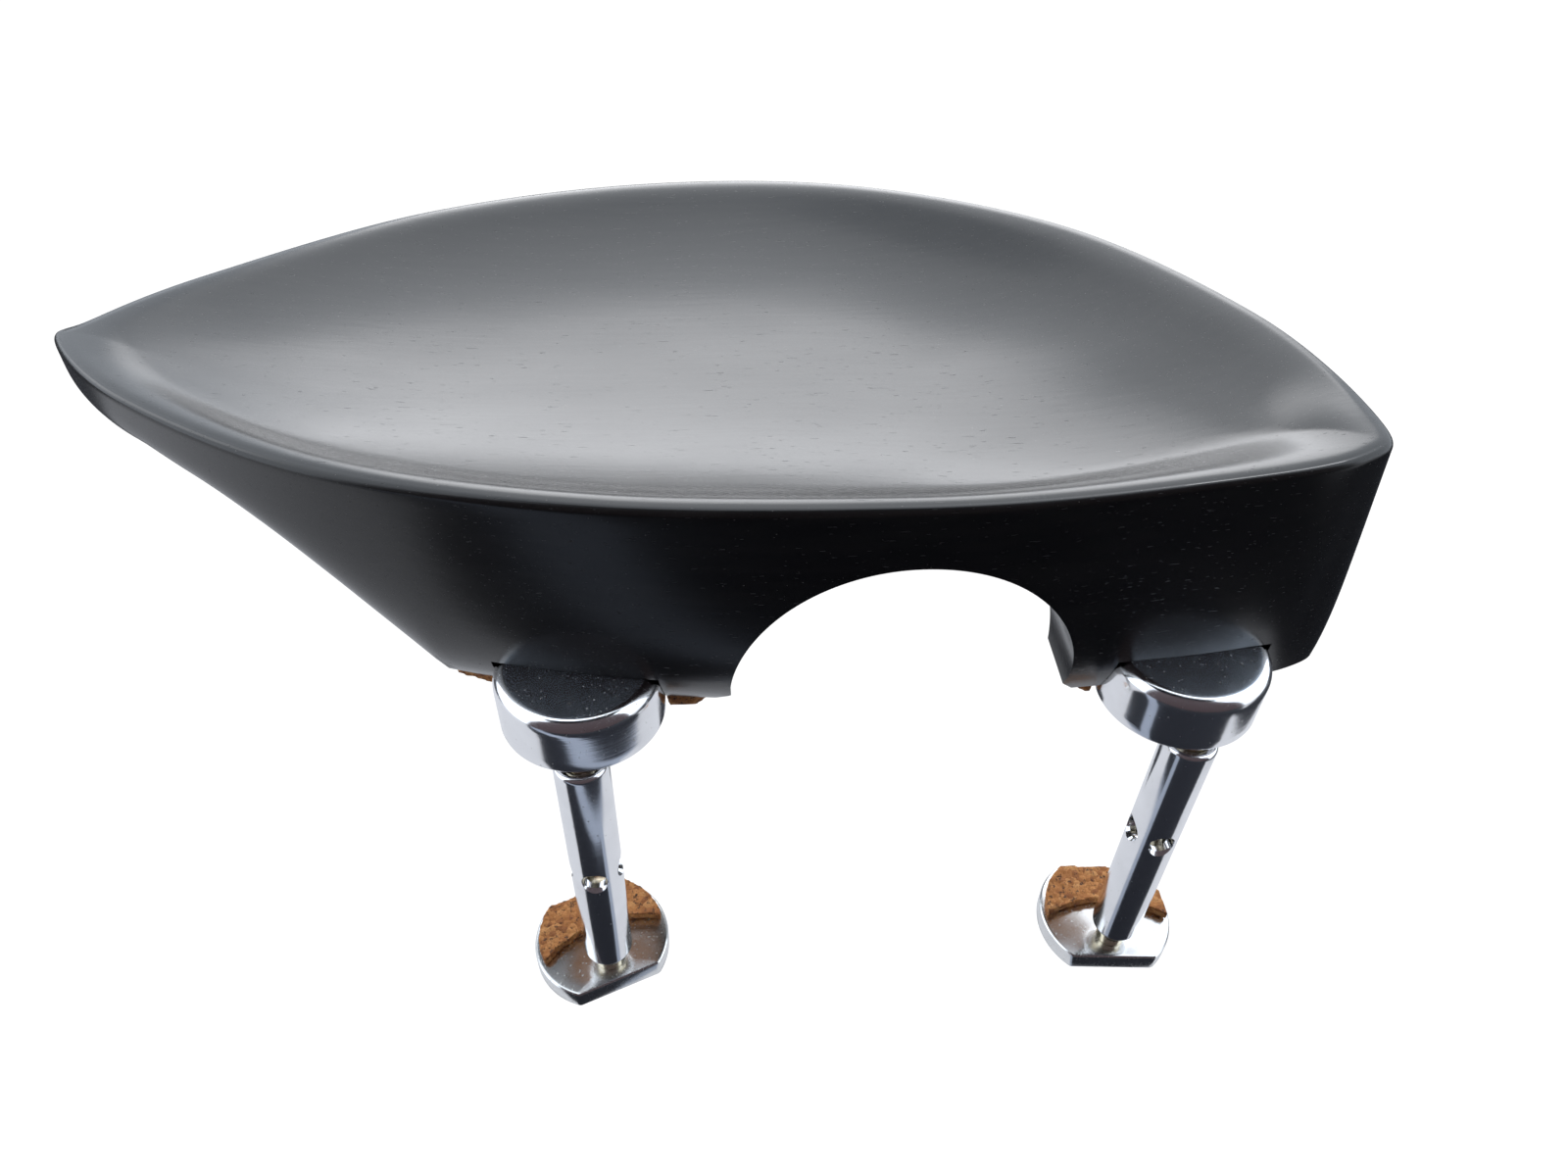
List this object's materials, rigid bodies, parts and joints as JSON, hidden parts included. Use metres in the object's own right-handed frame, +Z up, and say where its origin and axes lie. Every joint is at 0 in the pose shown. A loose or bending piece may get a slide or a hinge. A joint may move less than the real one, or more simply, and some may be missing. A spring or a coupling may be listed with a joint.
{
  "type": "violin chin rest",
  "caption": "Dished ebony chin rest that spans a violin's tailpiece, held to the edge of the body by turned screw clamps with cork-faced feet.",
  "frame": {"origin": "midway between the axes of the two barrels, level with the underside of the two bracket heads, where the violin's edge meets the clamps", "axes": "+X along the end of the violin toward the treble-side clamp, +Y from the end block toward the bridge, +Z up out of the violin's top"},
  "size_m": [0.1176, 0.0681, 0.0642],
  "materials": {
    "ebony": "satin polished ebony with fine open pores",
    "cork": null,
    "chrome": "bright nickel-chrome plating over turned brass",
    "stud_metal": "plated threaded stud, slightly warm in tone",
    "screw_steel": "bright steel wood screw"
  },
  "bodies": {
    "rest": {"chin_plate": "ebony", "cork_lining_left": "cork", "cork_lining_right": "cork", "upper_bracket_left": "chrome", "upper_bracket_right": "chrome", "bracket_screw_left_front": "screw_steel", "bracket_screw_left_rear": "screw_steel", "bracket_screw_right_front": "screw_steel", "bracket_screw_right_rear": "screw_steel", "upper_stud_left": "stud_metal", "upper_stud_right": "stud_metal"},
    "barrel_left": {"barrel_left": "chrome"},
    "barrel_right": {"barrel_right": "chrome"},
    "stud_left": {"lower_stud_left": "stud_metal"},
    "stud_right": {"lower_stud_right": "stud_metal"},
    "foot_left": {"foot_plate_left": "chrome", "foot_cork_left": "cork"},
    "foot_right": {"foot_plate_right": "chrome", "foot_cork_right": "cork"}
  },
  "joints": [
    {"name": "barrel_left_turn", "type": "hinge", "parent": "rest", "child": "barrel_left", "pos_m": [-0.0275, 0, -0.016], "axis": [0, 0, 1], "range_deg": [-360, 2340]},
    {"name": "stud_left_travel", "type": "slide", "parent": "rest", "child": "stud_left", "axis": [0, 0, -1], "range_m": [-0.0014, 0.0091]},
    {"name": "foot_left_swivel", "type": "hinge", "parent": "stud_left", "child": "foot_left", "pos_m": [-0.0275, 0, -0.0342], "axis": [0, 0, 1], "range_deg": [-180, 180]},
    {"name": "barrel_right_turn", "type": "hinge", "parent": "rest", "child": "barrel_right", "pos_m": [0.0275, 0, -0.016], "axis": [0, 0, 1], "range_deg": [-360, 2340]},
    {"name": "stud_right_travel", "type": "slide", "parent": "rest", "child": "stud_right", "axis": [0, 0, -1], "range_m": [-0.0014, 0.0091]},
    {"name": "foot_right_swivel", "type": "hinge", "parent": "stud_right", "child": "foot_right", "pos_m": [0.0275, 0, -0.0342], "axis": [0, 0, 1], "range_deg": [-180, 180]}
  ],
  "couplings": [
    {"joint": "barrel_left_turn", "follows": "stud_left_travel", "rad_per_m": 4488},
    {"joint": "barrel_right_turn", "follows": "stud_right_travel", "rad_per_m": 4488}
  ]
}
